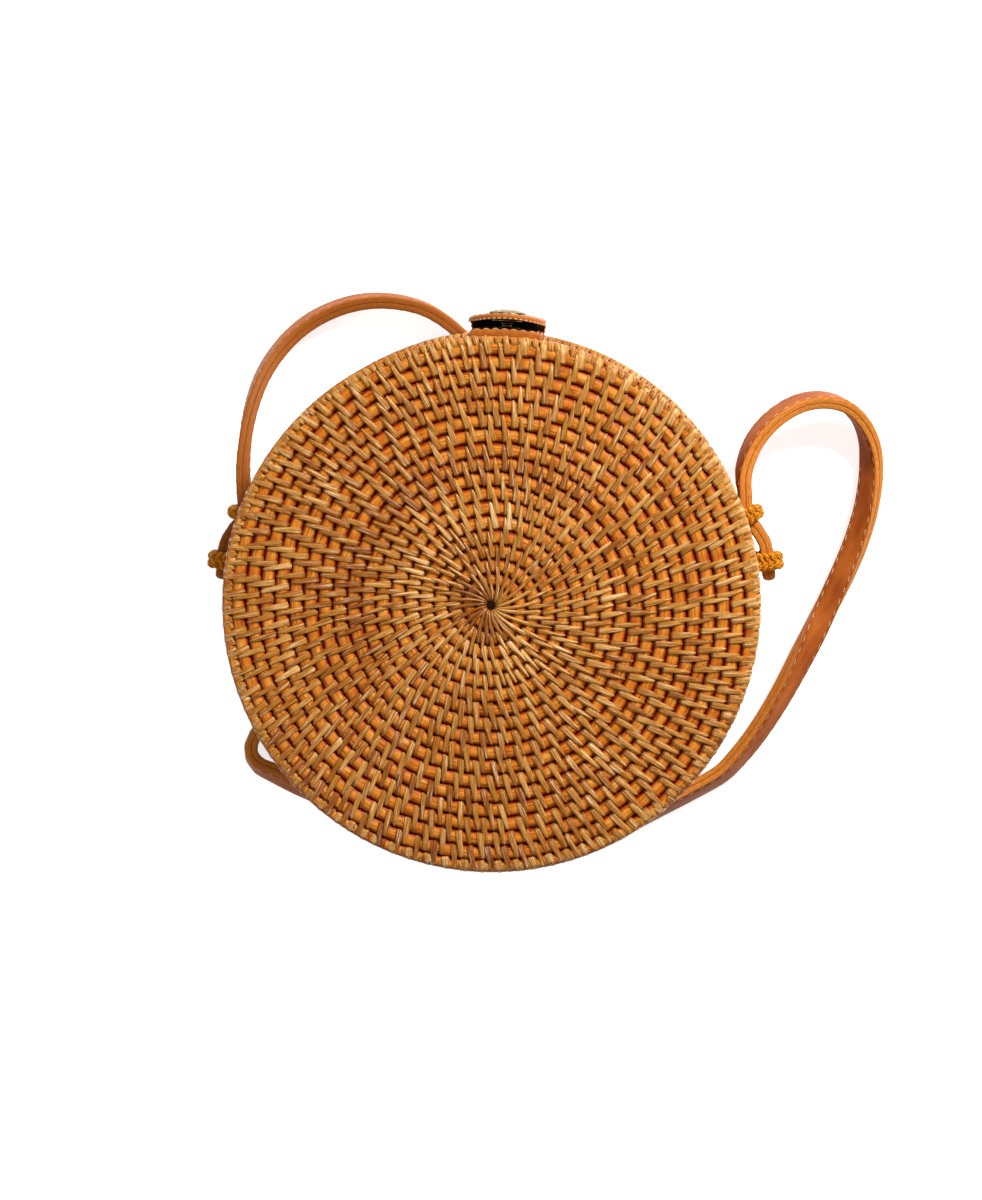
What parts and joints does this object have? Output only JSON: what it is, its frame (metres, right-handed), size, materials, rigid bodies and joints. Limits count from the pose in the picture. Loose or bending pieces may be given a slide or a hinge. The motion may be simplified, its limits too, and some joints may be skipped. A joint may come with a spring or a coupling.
{
  "type": "round crossbody bag",
  "caption": "Round clamshell bag of coiled cane with a hinged lid, a leather press-stud flap and a doubled leather shoulder strap tied to its sides.",
  "frame": {"origin": "centre of the front panel's outer face", "axes": "+Z out of the front panel, +Y towards the clasp, +X to the right as seen from the front"},
  "size_m": [0.2621, 0.2261, 0.0895],
  "materials": {
    "coiled_cane": "satin, coiled and stitched cane",
    "hinge_cane": "satin wrapped cane",
    "lining_fabric": "matt printed cotton",
    "strap_leather": "smooth cognac leather",
    "antique_brass": "aged, low gloss",
    "tie_cord": "waxed braided cord"
  },
  "bodies": {
    "back_half": {"back_panel": "coiled_cane", "back_side_wall": "coiled_cane", "back_mouth_rim": "coiled_cane", "back_lining": "lining_fabric", "hinge_rod": "hinge_cane", "hinge_loop_left": "hinge_cane", "hinge_loop_right": "hinge_cane", "clasp_flap_root": "strap_leather", "strap_left_arch": "strap_leather", "strap_under_right": "strap_leather", "strap_under_left": "strap_leather", "strap_lower_curl": "strap_leather", "strap_right_run": "strap_leather", "strap_right_arch": "strap_leather", "tie_left_upper": "tie_cord", "tie_left_lower": "tie_cord", "tie_right_upper": "tie_cord", "tie_right_lower": "tie_cord"},
    "lid": {"front_panel": "coiled_cane", "front_side_wall": "coiled_cane", "front_mouth_rim": "coiled_cane", "front_lining": "lining_fabric", "hinge_loop_middle": "hinge_cane", "clasp_base_tab": "strap_leather", "snap_stud": "antique_brass", "snap_post": "antique_brass"},
    "flap": {"clasp_flap": "strap_leather", "snap_cap": "antique_brass", "snap_socket": "antique_brass"}
  },
  "joints": [
    {"name": "lid_hinge", "type": "hinge", "parent": "back_half", "child": "lid", "pos_m": [0, -0.1015, -0.04], "axis": [1, 0, 0], "range_deg": [0, 165]},
    {"name": "flap_fold", "type": "hinge", "parent": "back_half", "child": "flap", "pos_m": [0.00529, 0.10086, -0.05], "axis": [-0.9986, 0.0523, 0], "range_deg": [0, 130]}
  ]
}
